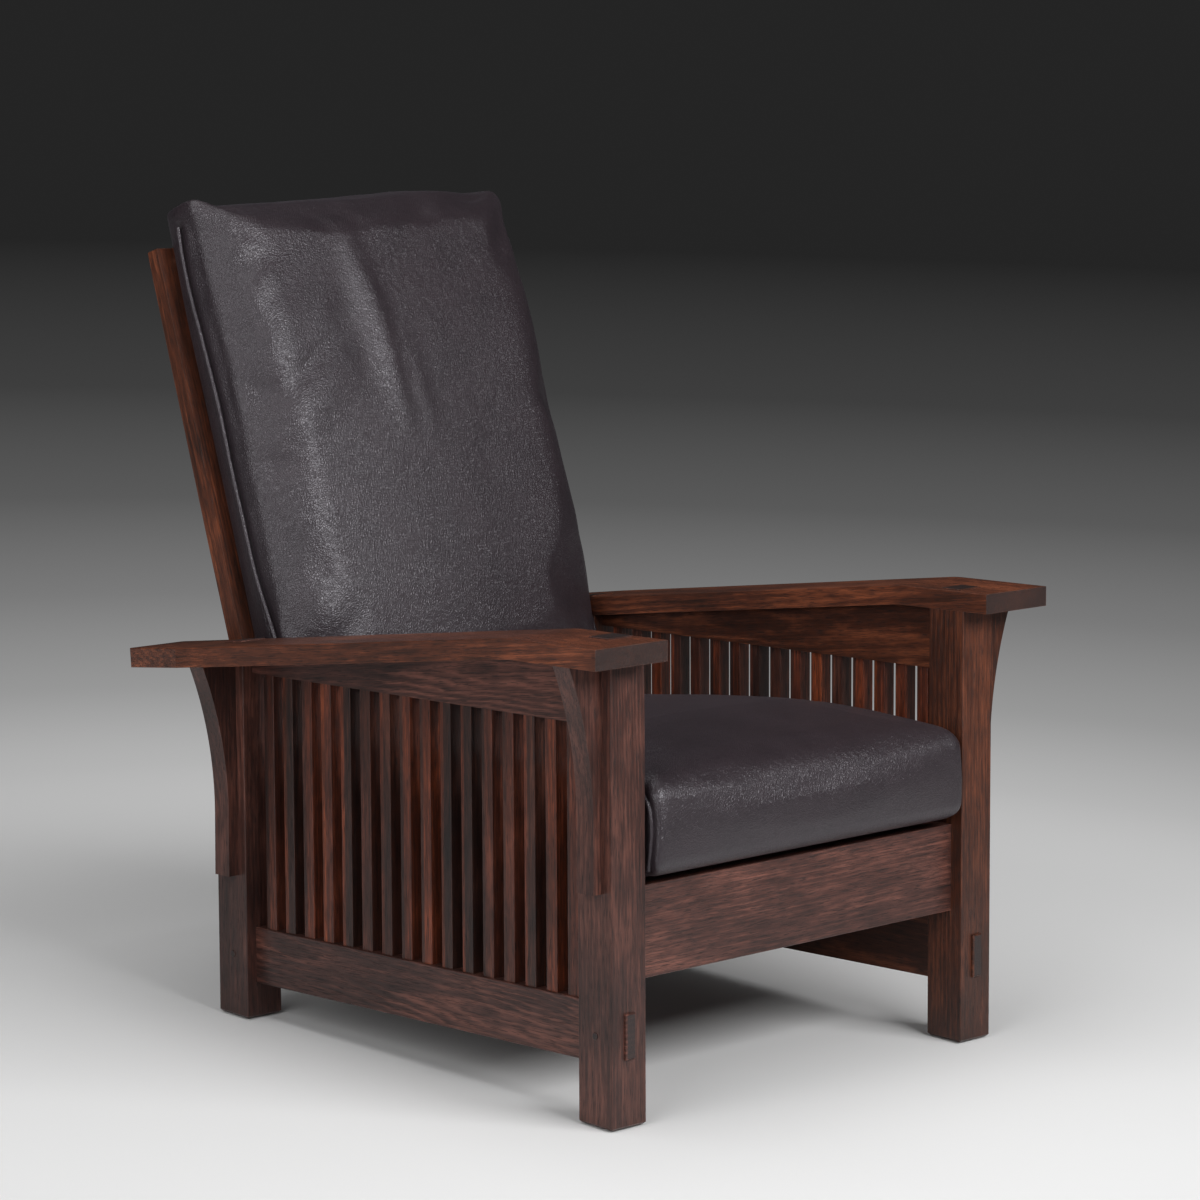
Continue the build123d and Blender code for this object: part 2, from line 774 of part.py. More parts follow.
def chair():
    """Every piece of the chair by name, leaning on its feet."""
    front = lean(finished_post(0.0, True))
    rear = lean(finished_post(wheelbase, False))
    nodes = {}

    def pair(name, right):
        nodes[name + "_right"] = right
        nodes[name + "_left"] = other_side(right)

    def group(name, solids):
        nodes[name] = Compound(solids)

    pair("front_post", front)
    pair("rear_post", rear)
    pair("arm", lean(arm()))
    pair("side_top_rail", lean(side_top_rail()))
    pair("side_bottom_rail", lean(side_bottom_rail()))
    pair("front_corbel", lean(corbel(0.0)))
    pair("rear_corbel", lean(corbel(wheelbase)))
    pair("side_seat_rail", lean(side_seat_rail()))
    pair("seat_cleat", lean(cleat()))
    pair("hinge_bolt", lean(hinge_bolt()))
    pair("hinge_washer", lean(hinge_washer()))
    pair("adjusting_peg", lean(adjusting_peg()))
    pair("back_stile", lean(place_back(back_stile())))
    sticks = [lean(spindle(front_y)) for front_y in spindle_places()]
    group("spindles_right", sticks)
    group("spindles_left", [other_side(stick) for stick in sticks])
    nodes["front_seat_rail"] = lean(front_seat_rail())
    nodes["rear_seat_rail"] = lean(rear_seat_rail())
    group("seat_slats", [lean(slat) for slat in seat_slats()])
    bottom, *slats, crest = [back_slat(low, height) for low, height in back_slat_places()]
    nodes["back_bottom_rail"] = lean(place_back(bottom))
    for number, slat in enumerate(slats, start=1):
        nodes[f"back_slat_{number}"] = lean(place_back(slat))
    nodes["back_crest_rail"] = lean(place_back(crest))
    nodes["seat_cushion"] = lean(seat_cushion())
    nodes["back_cushion"] = lean(place_back(back_cushion()))
    pins = [lean(pin) for pin in tenon_pins()]
    group("tenon_pins", pins + [other_side(pin) for pin in pins])
    screws = [lean(screw) for screw in cleat_screws()]
    group("cleat_screws", screws + [other_side(screw) for screw in screws])
    feet = [front, rear, other_side(front), other_side(rear)]
    group("foot_glides", foot_glides(feet))
    return nodes


def centred(nodes):
    """Move every piece so that the origin lies under the middle of the chair."""
    boxes = [piece.bounding_box() for piece in nodes.values()]
    front = min(box.min.Y for box in boxes)
    rear = max(box.max.Y for box in boxes)
    shift = -(front + rear) / 2
    print("centre shift", round(shift, 4))
    return {name: Pos(0, shift, 0) * piece for name, piece in nodes.items()}


os.makedirs("parts", exist_ok=True)
for name, piece in centred(chair()).items():
    export_step(piece, f"parts/{name}.step")
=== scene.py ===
"""Mission reclining armchair: oak finish, leather cushions, floor, light and camera.

Metres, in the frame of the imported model: +Z up, +Y to the back of the chair, the
sitter's left is +X, and the origin is on the floor under the middle of the chair.
"""
import json
import math

import bmesh
import bpy
import numpy as np
from mathutils import Matrix, Vector


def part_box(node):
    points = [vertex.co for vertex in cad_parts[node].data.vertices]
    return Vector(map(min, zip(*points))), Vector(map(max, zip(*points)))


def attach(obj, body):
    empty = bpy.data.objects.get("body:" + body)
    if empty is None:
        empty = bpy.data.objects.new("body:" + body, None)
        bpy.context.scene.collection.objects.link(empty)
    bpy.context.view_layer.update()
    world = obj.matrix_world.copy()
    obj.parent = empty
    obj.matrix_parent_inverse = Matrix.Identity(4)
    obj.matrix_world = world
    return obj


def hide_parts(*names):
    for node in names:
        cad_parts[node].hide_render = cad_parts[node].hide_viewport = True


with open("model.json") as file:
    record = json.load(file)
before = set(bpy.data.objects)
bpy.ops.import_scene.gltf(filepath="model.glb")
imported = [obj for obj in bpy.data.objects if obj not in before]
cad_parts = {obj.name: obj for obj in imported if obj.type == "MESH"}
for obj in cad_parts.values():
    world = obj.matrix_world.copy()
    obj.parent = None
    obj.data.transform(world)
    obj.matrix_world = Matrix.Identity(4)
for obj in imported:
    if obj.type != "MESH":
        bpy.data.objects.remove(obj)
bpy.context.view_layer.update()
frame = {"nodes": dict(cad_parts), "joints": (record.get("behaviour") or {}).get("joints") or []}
nodes = frame["nodes"]
joints = {joint["name"]: joint for joint in frame["joints"]}
scene = bpy.context.scene

# Oak: rings_per_metre counts half rings. The tree's middle leans along a flat-sawn board.
rings_per_metre = 360.0
heart_lean = 0.085
heart_offset = 0.036
# The arm's rear part runs back and down along these shares of the base's directions
arm_run_back = 0.9934
arm_run_down = 0.1149
edge_round = 0.0009
stick_gap_least = 0.008
stick_cell_shift = 0.25

# Camera, fitted to the photograph
camera_place = Vector((-3.753182, -3.849702, 1.405115))
camera_yaw = 0.784
camera_pitch = -0.158
camera_roll = 0.026
focal_pixels = 4173.602
frame_pixels = 1200
sensor = 36.0
# The studio sweep: its grey by distance from the chair, and overhead. The floor fades
# into it between two distances.
sweep = ((1.0, 0.72), (1.7, 0.46), (2.4, 0.31), (3.5, 0.19), (5.0, 0.1), (7.5, 0.048),
         (13.5, 0.018))
sweep_overhead = 0.012
fade_from = 0.8
fade_to = 2.0
floor_grey = 0.7
world_strength = 0.15

# The chair's own directions: the base leans back, and the back leans further
x_axis = Vector((1, 0, 0))
bench_y = -Vector(joints["seat_cushion_pull"]["axis"])
bench_z = x_axis.cross(bench_y)
back_up = Vector(joints["back_cushion_lift"]["axis"])
back_front = x_axis.cross(back_up)
hinge = Vector(joints["back_tip"]["pos_m"])


def oriented(along):
    """A rotation whose Z runs along the grain and whose X stays the chair's X if it can."""
    z = Vector(along).normalized()
    side = x_axis if abs(z.dot(x_axis)) < 0.9 else Vector((0, 1, 0))
    y = z.cross(side).normalized()
    x = y.cross(z)
    return Matrix((x, y, z)).to_3x3()


class Graph:
    """A short way to write a material's nodes."""

    def __init__(self, name):
        self.material = bpy.data.materials.new(name)
        self.material.use_nodes = True
        self.tree = self.material.node_tree
        self.tree.nodes.clear()

    def add(self, kind, settings=None, **inputs):
        node = self.tree.nodes.new(kind)
        for key, value in (settings or {}).items():
            setattr(node, key, value)
        for key, value in inputs.items():
            self.put(node, key, value)
        return node

    def put(self, node, key, value):
        name = key.replace("_", " ")
        socket = next(s for s in node.inputs if s.name == name and s.enabled)
        if isinstance(value, bpy.types.NodeSocket):
            self.tree.links.new(value, socket)
        else:
            socket.default_value = value

    def math(self, operation, a, b=0.0):
        node = self.tree.nodes.new("ShaderNodeMath")
        node.operation = operation
        for socket, value in zip(node.inputs, (a, b)):
            if isinstance(value, bpy.types.NodeSocket):
                self.tree.links.new(value, socket)
            else:
                socket.default_value = value
        return node.outputs[0]

    def mix(self, factor, a, b, blend="MIX"):
        node = self.tree.nodes.new("ShaderNodeMix")
        node.data_type = "RGBA"
        node.blend_type = blend
        for index, value in ((0, factor), (6, a), (7, b)):
            if isinstance(value, bpy.types.NodeSocket):
                self.tree.links.new(value, node.inputs[index])
            else:
                node.inputs[index].default_value = value
        return node.outputs[2]

    def ramp(self, factor, stops):
        node = self.tree.nodes.new("ShaderNodeValToRGB")
        elements = node.color_ramp.elements
        while len(elements) < len(stops):
            elements.new(0.5)
        for element, (place, colour) in zip(elements, stops):
            element.position = place
            element.color = colour
        self.tree.links.new(factor, node.inputs[0])
        return node.outputs[0]

    def span(self, value, low, high, to_low=0.0, to_high=1.0):
        node = self.tree.nodes.new("ShaderNodeMapRange")
        self.tree.links.new(value, node.inputs[0])
        for index, limit in enumerate((low, high, to_low, to_high), start=1):
            node.inputs[index].default_value = limit
        return node.outputs[0]

    def noise(self, vector, scale, detail, roughness):
        node = self.add("ShaderNodeTexNoise", Scale=scale, Detail=detail, Roughness=roughness)
        self.tree.links.new(vector, node.inputs["Vector"])
        return node.outputs["Fac"]

    def stretched(self, vector, scale):
        node = self.tree.nodes.new("ShaderNodeVectorMath")
        node.operation = "MULTIPLY"
        self.tree.links.new(vector, node.inputs[0])
        node.inputs[1].default_value = scale
        return node.outputs[0]


def rgb(red, green, blue):
    return (red, green, blue, 1.0)


def oak(name, along, seed, tone=1.0, red=0.5, rough=0.36, stick_pitch=None, heart=None):
    """Dark stained oak with its grain along a direction.

    tone darkens or lightens, red warms from a cool brown. With stick_pitch, each stick of a
    row that is spaced so along the chair's depth gets its own shade. With heart, a point
    near the middle of the tree, the board shows flat-sawn figure around it.
    """
    graph = Graph(name)
    shader = graph.add("ShaderNodeBsdfPrincipled", Roughness=rough)
    shader.inputs["Specular IOR Level"].default_value = 0.4
    output = graph.add("ShaderNodeOutputMaterial")
    graph.tree.links.new(shader.outputs[0], output.inputs["Surface"])

    coordinates = graph.add("ShaderNodeTexCoord")
    turned = oriented(along)
    shift = Vector((seed * 0.37, seed * 0.61, seed * 0.83))
    if heart is not None:
        shift = -(turned @ Vector(heart))
    mapping = graph.add("ShaderNodeMapping", {"vector_type": "POINT"})
    graph.tree.links.new(coordinates.outputs["Object"], mapping.inputs["Vector"])
    mapping.inputs["Rotation"].default_value = turned.to_euler()
    mapping.inputs["Location"].default_value = shift
    place = mapping.outputs[0]

    # Growth rings: distance from the tree's middle, which wanders and leans along the board
    parts = graph.add("ShaderNodeSeparateXYZ")
    graph.tree.links.new(place, parts.inputs[0])
    slow = graph.noise(graph.stretched(place, (5.0, 5.0, 1.6)), 1.0, 2.0, 0.5)
    waves = graph.noise(graph.stretched(place, (22.0, 22.0, 9.0)), 1.0, 3.0, 0.55)
    jitter = graph.noise(graph.stretched(place, (210.0, 210.0, 16.0)), 1.0, 3.0, 0.62)
    if heart is not None:
        lean = graph.math("MULTIPLY", parts.outputs[2], heart_lean)
        side = graph.math("ADD", parts.outputs[0], graph.math("MULTIPLY", slow, 0.05))
        rise = graph.math("ADD", parts.outputs[1], lean)
        squares = graph.math("ADD", graph.math("MULTIPLY", side, side),
                             graph.math("MULTIPLY", rise, rise))
        across = graph.math("SQRT", squares)
    else:
        across = graph.math("ADD", parts.outputs[0],
                            graph.math("MULTIPLY", parts.outputs[1], 0.62))
        across = graph.math("ADD", across, graph.math("MULTIPLY", slow, 0.03))
    wander = 0.0085 if heart is None else 0.016
    across = graph.math("ADD", across, graph.math("MULTIPLY", waves, wander))
    across = graph.math("ADD", across, graph.math("MULTIPLY", jitter, 0.0045))
    pitch = rings_per_metre if heart is None else rings_per_metre * 0.8
    rings = graph.math("PINGPONG", graph.math("MULTIPLY", across, pitch), 1.0)
    rings = graph.math("POWER", rings, 1.5)

    # Fibres, pores as short dark dashes, flecks of ray and slow changes of the stain
    fibre = graph.noise(graph.stretched(place, (430.0, 430.0, 9.0)), 1.0, 4.0, 0.64)
    pores = graph.noise(graph.stretched(place, (1200.0, 1200.0, 55.0)), 1.0, 1.0, 0.4)
    pores = graph.span(pores, 0.55, 0.64)
    flecks = graph.noise(graph.stretched(place, (130.0, 130.0, 26.0)), 1.0, 2.0, 0.6)
    cloud = graph.noise(graph.stretched(place, (11.0, 11.0, 4.5)), 1.0, 4.0, 0.62)
    strength = graph.noise(graph.stretched(place, (20.0, 20.0, 4.0)), 1.0, 2.0, 0.5)
    weakest, strongest = (0.03, 0.2) if heart is None else (0.16, 0.42)
    rings = graph.math("MULTIPLY", rings, graph.span(strength, 0.35, 0.65, weakest, strongest))
    figure = graph.math("ADD", rings, graph.math("MULTIPLY", fibre, 0.75))
    figure = graph.math("ADD", figure, graph.math("MULTIPLY", flecks, 0.5))
    figure = graph.math("ADD", figure, graph.math("MULTIPLY", cloud, 1.0))
    figure = graph.span(figure, 0.86, 1.5 if heart is None else 1.62)

    dark = rgb(0.014 * tone, (0.0068 - 0.001 * red) * tone, (0.0066 - 0.003 * red) * tone)
    middle = rgb(0.05 * tone, (0.0225 - 0.0085 * red) * tone, (0.0205 - 0.0145 * red) * tone)
    light = rgb(0.135 * tone, (0.061 - 0.024 * red) * tone, (0.053 - 0.04 * red) * tone)
    colour = graph.ramp(figure, ((0.0, dark), (0.5, middle), (1.0, light)))
    colour = graph.mix(graph.math("MULTIPLY", pores, 0.66), colour, rgb(0.008, 0.0045, 0.004))

    if stick_pitch:
        depth = graph.add("ShaderNodeVectorMath", {"operation": "DOT_PRODUCT"})
        graph.tree.links.new(coordinates.outputs["Object"], depth.inputs[0])
        depth.inputs[1].default_value = bench_y
        index = graph.math("DIVIDE", depth.outputs["Value"], stick_pitch[0])
        index = graph.math("FLOOR", graph.math("ADD", index, stick_pitch[1]))
        pick = graph.add("ShaderNodeTexWhiteNoise", {"noise_dimensions": "1D"})
        graph.tree.links.new(graph.math("ADD", index, seed * 3.1), pick.inputs["W"])
        shade = graph.ramp(
            pick.outputs["Value"],
            ((0.0, rgb(0.42, 0.5, 0.6)), (0.3, rgb(0.72, 0.74, 0.8)),
             (0.6, rgb(1.05, 0.85, 0.8)), (0.85, rgb(1.45, 1.0, 0.7)), (1.0, rgb(2.0, 1.4, 0.75))),
        )
        colour = graph.mix(1.0, colour, shade, "MULTIPLY")

    # End grain is darker and greyer than the long faces
    normal = graph.add("ShaderNodeVectorMath", {"operation": "DOT_PRODUCT"})
    graph.tree.links.new(coordinates.outputs["Normal"], normal.inputs[0])
    normal.inputs[1].default_value = Vector(along).normalized()
    end = graph.span(graph.math("ABSOLUTE", normal.outputs["Value"]), 0.75, 0.95)
    speckle = graph.noise(graph.stretched(place, (900.0, 900.0, 900.0)), 1.0, 2.0, 0.5)
    grey = graph.ramp(speckle, ((0.3, rgb(0.009, 0.007, 0.0075)), (0.7, rgb(0.03, 0.021, 0.02))))
    colour = graph.mix(graph.math("MULTIPLY", end, 0.85), colour, grey)

    # Rubbed edges and a painted edge highlight: a lighter colour where a rounded normal departs
    # from the true one
    bevel = graph.add("ShaderNodeBevel", {"samples": 4}, Radius=0.0016)
    geometry = graph.add("ShaderNodeNewGeometry")
    bend = graph.add("ShaderNodeVectorMath", {"operation": "DOT_PRODUCT"})
    graph.tree.links.new(bevel.outputs[0], bend.inputs[0])
    graph.tree.links.new(geometry.outputs["True Normal"], bend.inputs[1])
    wear_and_painted_glint = graph.span(bend.outputs["Value"], 0.98, 0.8)
    patches = graph.noise(graph.stretched(place, (60.0, 60.0, 22.0)), 1.0, 2.0, 0.5)
    wear_and_painted_glint = graph.math("MULTIPLY", wear_and_painted_glint, graph.span(patches, 0.4, 0.7, 0.08, 0.42))
    colour = graph.mix(wear_and_painted_glint, colour, rgb(0.13 * tone, 0.06 * tone, 0.042 * tone))
    graph.tree.links.new(colour, shader.inputs["Base Color"])

    gloss = graph.math("ADD", graph.math("MULTIPLY", fibre, 0.22),
                       graph.math("MULTIPLY", pores, 0.2))
    graph.tree.links.new(graph.math("ADD", gloss, rough - 0.12), shader.inputs["Roughness"])
    height = graph.math("SUBTRACT", graph.math("MULTIPLY", fibre, 0.5), pores)
    bump = graph.add("ShaderNodeBump", Strength=0.35, Distance=0.0003, Height=height)
    graph.tree.links.new(bump.outputs[0], shader.inputs["Normal"])
    return graph.material


def leather(name, seed):
    """Dark aubergine leather: fine pebbles, small creases and a semi-gloss finish."""
    graph = Graph(name)
    shader = graph.add("ShaderNodeBsdfPrincipled", Roughness=0.36)
    shader.inputs["Specular IOR Level"].default_value = 0.5
    shader.inputs["Specular Tint"].default_value = rgb(0.95, 0.93, 1.0)
    shader.inputs["Sheen Weight"].default_value = 0.03
    shader.inputs["Sheen Roughness"].default_value = 0.4
    shader.inputs["Sheen Tint"].default_value = rgb(0.85, 0.8, 0.95)
    shader.inputs["Coat Weight"].default_value = 0.22
    shader.inputs["Coat Roughness"].default_value = 0.33
    output = graph.add("ShaderNodeOutputMaterial")
    graph.tree.links.new(shader.outputs[0], output.inputs["Surface"])
    coordinates = graph.add("ShaderNodeTexCoord")
    place = graph.add("ShaderNodeMapping", Location=(seed * 0.7, seed * 0.3, seed * 0.9))
    graph.tree.links.new(coordinates.outputs["Object"], place.inputs["Vector"])
    place = place.outputs[0]
    warp = graph.noise(graph.stretched(place, (110.0, 110.0, 110.0)), 1.0, 2.0, 0.5)
    warped = graph.add("ShaderNodeVectorMath", {"operation": "ADD"})
    graph.tree.links.new(place, warped.inputs[0])
    graph.tree.links.new(graph.math("MULTIPLY", warp, 0.006), warped.inputs[1])
    pebble = graph.add("ShaderNodeTexVoronoi", {"feature": "DISTANCE_TO_EDGE"}, Scale=340.0)
    graph.tree.links.new(warped.outputs[0], pebble.inputs["Vector"])
    pebble = graph.span(pebble.outputs["Distance"], 0.0, 0.32)
    crease = graph.noise(graph.stretched(place, (120.0, 120.0, 210.0)), 1.0, 3.0, 0.6)
    ripple = graph.noise(graph.stretched(place, (26.0, 26.0, 34.0)), 1.0, 2.0, 0.5)
    mottle = graph.noise(graph.stretched(place, (14.0, 14.0, 14.0)), 1.0, 4.0, 0.6)
    base = graph.ramp(
        mottle, ((0.3, rgb(0.0178, 0.0121, 0.0148)), (0.7, rgb(0.0255, 0.0172, 0.0208)))
    )
    colour = graph.mix(graph.span(pebble, 0.0, 0.5, 0.6, 0.0), base, rgb(0.009, 0.0065, 0.0085))
    graph.tree.links.new(colour, shader.inputs["Base Color"])
    rough = graph.math("ADD", graph.math("MULTIPLY", mottle, 0.1), 0.28)
    rough = graph.math("ADD", rough, graph.span(pebble, 0.0, 0.5, 0.16, 0.0))
    graph.tree.links.new(rough, shader.inputs["Roughness"])
    height = graph.math("ADD", pebble, graph.math("MULTIPLY", crease, 0.8))
    height = graph.math("ADD", height, graph.math("MULTIPLY", ripple, 2.2))
    bump = graph.add("ShaderNodeBump", Strength=1.0, Distance=0.00025, Height=height)
    graph.tree.links.new(bump.outputs[0], shader.inputs["Normal"])
    graph.tree.links.new(bump.outputs[0], shader.inputs["Coat Normal"])
    return graph.material


def metal(name, colour, rough):
    """Blackened steel with fine scratches and handled patches."""
    graph = Graph(name)
    shader = graph.add("ShaderNodeBsdfPrincipled", Metallic=1.0)
    output = graph.add("ShaderNodeOutputMaterial")
    graph.tree.links.new(shader.outputs[0], output.inputs["Surface"])
    coordinates = graph.add("ShaderNodeTexCoord").outputs["Object"]
    scratch = graph.noise(graph.stretched(coordinates, (900.0, 260.0, 260.0)), 1.0, 3.0, 0.6)
    patch = graph.noise(graph.stretched(coordinates, (60.0, 60.0, 60.0)), 1.0, 2.0, 0.5)
    dark = rgb(*[value * 0.6 for value in colour])
    graph.tree.links.new(
        graph.ramp(patch, ((0.35, dark), (0.65, rgb(*colour)))), shader.inputs["Base Color"]
    )
    graph.tree.links.new(graph.span(scratch, 0.3, 0.7, rough - 0.1, rough + 0.12),
                         shader.inputs["Roughness"])
    bump = graph.add("ShaderNodeBump", Strength=0.15, Distance=0.0002, Height=scratch)
    graph.tree.links.new(bump.outputs[0], shader.inputs["Normal"])
    return graph.material


def nylon(name):
    """Dark moulded nylon with a faint mould texture."""
    graph = Graph(name)
    shader = graph.add("ShaderNodeBsdfPrincipled")
    output = graph.add("ShaderNodeOutputMaterial")
    graph.tree.links.new(shader.outputs[0], output.inputs["Surface"])
    coordinates = graph.add("ShaderNodeTexCoord").outputs["Object"]
    grit = graph.noise(graph.stretched(coordinates, (1400.0, 1400.0, 1400.0)), 1.0, 2.0, 0.5)
    graph.tree.links.new(
        graph.ramp(grit, ((0.3, rgb(0.01, 0.0085, 0.008)), (0.7, rgb(0.02, 0.017, 0.015)))),
        shader.inputs["Base Color"],
    )
    graph.tree.links.new(graph.span(grit, 0.3, 0.7, 0.5, 0.66), shader.inputs["Roughness"])
    bump = graph.add("ShaderNodeBump", Strength=0.2, Distance=0.0002, Height=grit)
    graph.tree.links.new(bump.outputs[0], shader.inputs["Normal"])
    return graph.material


def finish_nodes():
    """Every carried-over node gets a material with its grain along its own length."""
    posts = nodes_named("front_post", "rear_post", "front_corbel", "rear_corbel")
    rails = nodes_named("side_bottom_rail", "side_seat_rail", "seat_cleat")
    crossing = nodes_named("front_seat_rail", "rear_seat_rail", "seat_slats", "back_slat",
                           "back_bottom_rail", "back_crest_rail", "tenon_pins", "adjusting_peg")
    seed = 1.0
    for group, along in ((posts, bench_z), (rails, bench_y), (crossing, x_axis)):
        for name in group:
            seed += 1.7
            tone = 1.3 if name == "front_seat_rail" else 1.0
            heart = board_heart(name) if name.startswith("side_bottom_rail") else None
            # Parts on the sitter's left, the far side, are painted warmer and those on the right
            # cooler: painted light, standing in for warm light on the far inner faces and a cool
            # sheen on the near outer faces.
            warmth_and_painted_side_light = 0.85 if name.endswith("_left") else 0.4
            paint(name, oak(f"oak_{name}", along, seed, tone, warmth_and_painted_side_light, heart=heart))
    drop = Vector((0, *(bench_y * arm_run_back - bench_z * arm_run_down)[1:]))
    for name in nodes_named("arm", "side_top_rail"):
        seed += 1.7
        arm = name.startswith("arm")
        tone = 1.75 if arm else 1.2
        heart = None if arm else board_heart(name)
        # Both arms are a warmer oak; the left top rail is painted warmer than the right as painted
        # light on the far side.
        warmth_and_painted_side_light = 0.9 if arm or name.endswith("_left") else 0.4
        paint(name, oak(f"oak_{name}", drop, seed, tone, warmth_and_painted_side_light, heart=heart))
    for name in nodes_named("back_stile"):
        seed += 1.7
        paint(name, oak(f"oak_{name}", back_up, seed, 1.7, red=0.9))
    for name in nodes_named("spindles"):
        seed += 1.7
        # The left row, on the far side, is painted lighter than the right: painted light on its
        # inner faces.
        tone = 1.5 if name.endswith("_left") else 1.2
        paint(name, oak(f"oak_{name}", bench_z, seed, tone, 0.7, stick_pitch=stick_pitch(name)))
    steel = metal("blackened_steel", (0.25, 0.23, 0.21), 0.38)
    plastic = nylon("dark_nylon")
    for name in nodes_named("hinge_bolt", "cleat_screws"):
        paint(name, steel)
    for name in nodes_named("hinge_washer", "foot_glides"):
        paint(name, plastic)


def board_heart(name):
    """A point inside the chair from a side board, where its tree's middle ran."""
    low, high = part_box(name)
    middle = (low + high) / 2
    return middle - x_axis * math.copysign(heart_offset, middle.x)


def nodes_named(*starts):
    return [name for name in sorted(nodes) if name.startswith(starts)]


def paint(name, material):
    slots = nodes[name].data.materials
    slots.clear()
    slots.append(material)


def stick_pitch(name):
    """The spacing of the row's sticks and the shift that puts each in a cell of its own."""
    depths = sorted(bench_y.dot(vertex.co) for vertex in nodes[name].data.vertices)
    starts = [depths[0]]
    for before, after in zip(depths, depths[1:]):
        if after - before > stick_gap_least:
            starts.append(after)
    pitch = (starts[-1] - starts[0]) / (len(starts) - 1)
    return pitch, -starts[0] / pitch + stick_cell_shift


def soften_edges():
    """A small round on the CAD's sharp edges, so that they catch the light."""
    for name in nodes_named("arm", "front_corbel", "rear_corbel", "side_top_rail", "back_stile",
                            "back_slat", "back_crest_rail", "back_bottom_rail", "front_post",
                            "rear_post", "side_bottom_rail", "seat_cleat"):
        bevel = nodes[name].modifiers.new("ease", "BEVEL")
        bevel.width = edge_round
        bevel.segments = 2
        bevel.limit_method = "ANGLE"
        bevel.angle_limit = math.radians(40)
        bevel.harden_normals = False


def lattice(counts):
    """The surface of a box as a grid: (points from -1 to 1, quads)."""
    ids = {}
    points = []
    quads = []

    def corner(i, j, k):
        key = (i, j, k)
        if key not in ids:
            ids[key] = len(points)
            points.append([2 * v / n - 1 for v, n in zip(key, counts)])
        return ids[key]

    for fixed in range(3):
        first, second = [axis for axis in range(3) if axis != fixed]
        for end in (0, counts[fixed]):
            for p in range(counts[first]):
                for q in range(counts[second]):
                    loop = []
                    for dp, dq in ((0, 0), (1, 0), (1, 1), (0, 1)):
                        key = [0, 0, 0]
                        key[fixed] = end
                        key[first] = p + dp
                        key[second] = q + dq
                        loop.append(corner(*key))
                    quads.append(loop)
    return np.array(points), quads


def rounded(points, half, front_radii, rear_radii):
    """Lattice points on a box with soft edges; its front (+z) edges are rounder."""
    share = ease(points[:, 2], -1, 1)[:, None]
    radii = np.array(rear_radii) + (np.array(front_radii) - np.array(rear_radii)) * share
    place = points * half
    inner = np.clip(place, -(half - radii), half - radii)
    offset = (place - inner) / radii
    outline = (np.abs(offset[:, 0]) ** corner_power + np.abs(offset[:, 1]) ** corner_power)
    length = np.sqrt(outline ** (2 / corner_power) + offset[:, 2] ** 2)[:, None]
    return inner + radii * offset / np.maximum(length, 1e-9)


def ease(value, low, high):
    share = np.clip((value - low) / (high - low), 0.0, 1.0)
    return share * share * (3 - 2 * share)


def ridge(points, start, end, width, height):
    """The rise of a soft fold along a line on the face, or of a valley if height < 0."""
    start = np.array(start)
    line = np.array(end) - start
    along = np.clip(((points - start) @ line) / (line @ line), 0.0, 1.0)
    away = np.linalg.norm(points - start - along[:, None] * line, axis=1)
    fade = np.sin(np.pi * np.clip(along * 0.86 + 0.07, 0, 1)) ** 0.7
    return height * fade * np.exp(-((away / width) ** 2))


def build_mesh(name, coordinates, quads):
    mesh = bpy.data.meshes.new(name)
    mesh.from_pydata([tuple(point) for point in coordinates], [], quads)
    work = bmesh.new()
    work.from_mesh(mesh)
    bmesh.ops.recalc_face_normals(work, faces=work.faces)
    work.to_mesh(mesh)
    work.free()
    for polygon in mesh.polygons:
        polygon.use_smooth = True
    piece = bpy.data.objects.new(name, mesh)
    scene.collection.objects.link(piece)
    return piece


cloth_frames = 20
own_share = 0.4


def inflate(piece, pinned, cap, pressure, slack, passes):
    """Swell the leather between its seams with a cloth simulation, and apply it.

    The move of each point is averaged with its neighbours' over some passes, which keeps
    the broad folds and takes out buckling finer than thick leather shows. No point moves
    by more than cap.
    """
    group = piece.vertex_groups.new(name="seams")
    for index, weight in enumerate(pinned):
        if weight > 0.01:
            group.add([index], float(weight), "REPLACE")
    rest = np.array([vertex.co for vertex in piece.data.vertices])
    cloth = piece.modifiers.new("cloth", "CLOTH")
    settings = cloth.settings
    settings.quality = 5
    settings.mass = 0.5
    settings.tension_stiffness = 25
    settings.compression_stiffness = 25
    settings.shear_stiffness = 12
    settings.bending_stiffness = 4
    settings.air_damping = 4
    settings.use_pressure = True
    settings.uniform_pressure_force = pressure
    settings.shrink_min = slack
    settings.vertex_group_mass = "seams"
    settings.pin_stiffness = 1.0
    settings.effector_weights.gravity = 0
    cloth.point_cache.frame_start = 1
    cloth.point_cache.frame_end = cloth_frames
    for step in range(1, cloth_frames + 1):
        scene.frame_set(step)
    evaluated = piece.evaluated_get(bpy.context.evaluated_depsgraph_get())
    swollen = np.array([vertex.co for vertex in evaluated.data.vertices])
    piece.modifiers.remove(cloth)
    piece.vertex_groups.clear()
    scene.frame_set(1)
    move = swollen - rest
    edges = np.array([edge.vertices[:] for edge in piece.data.edges])
    count = np.bincount(edges.ravel(), minlength=len(rest))[:, None]
    for _ in range(passes):
        total = np.zeros_like(move)
        np.add.at(total, edges[:, 0], move[edges[:, 1]])
        np.add.at(total, edges[:, 1], move[edges[:, 0]])
        move = own_share * move + (1 - own_share) * total / count
    length = np.linalg.norm(move, axis=1, keepdims=True)
    move *= np.minimum(1.0, cap / np.maximum(length, 1e-9))
    place_vertices(piece, rest + move)


def place_vertices(piece, coordinates):
    piece.data.vertices.foreach_set("co", coordinates.astype(np.float32).ravel())
    piece.data.update()


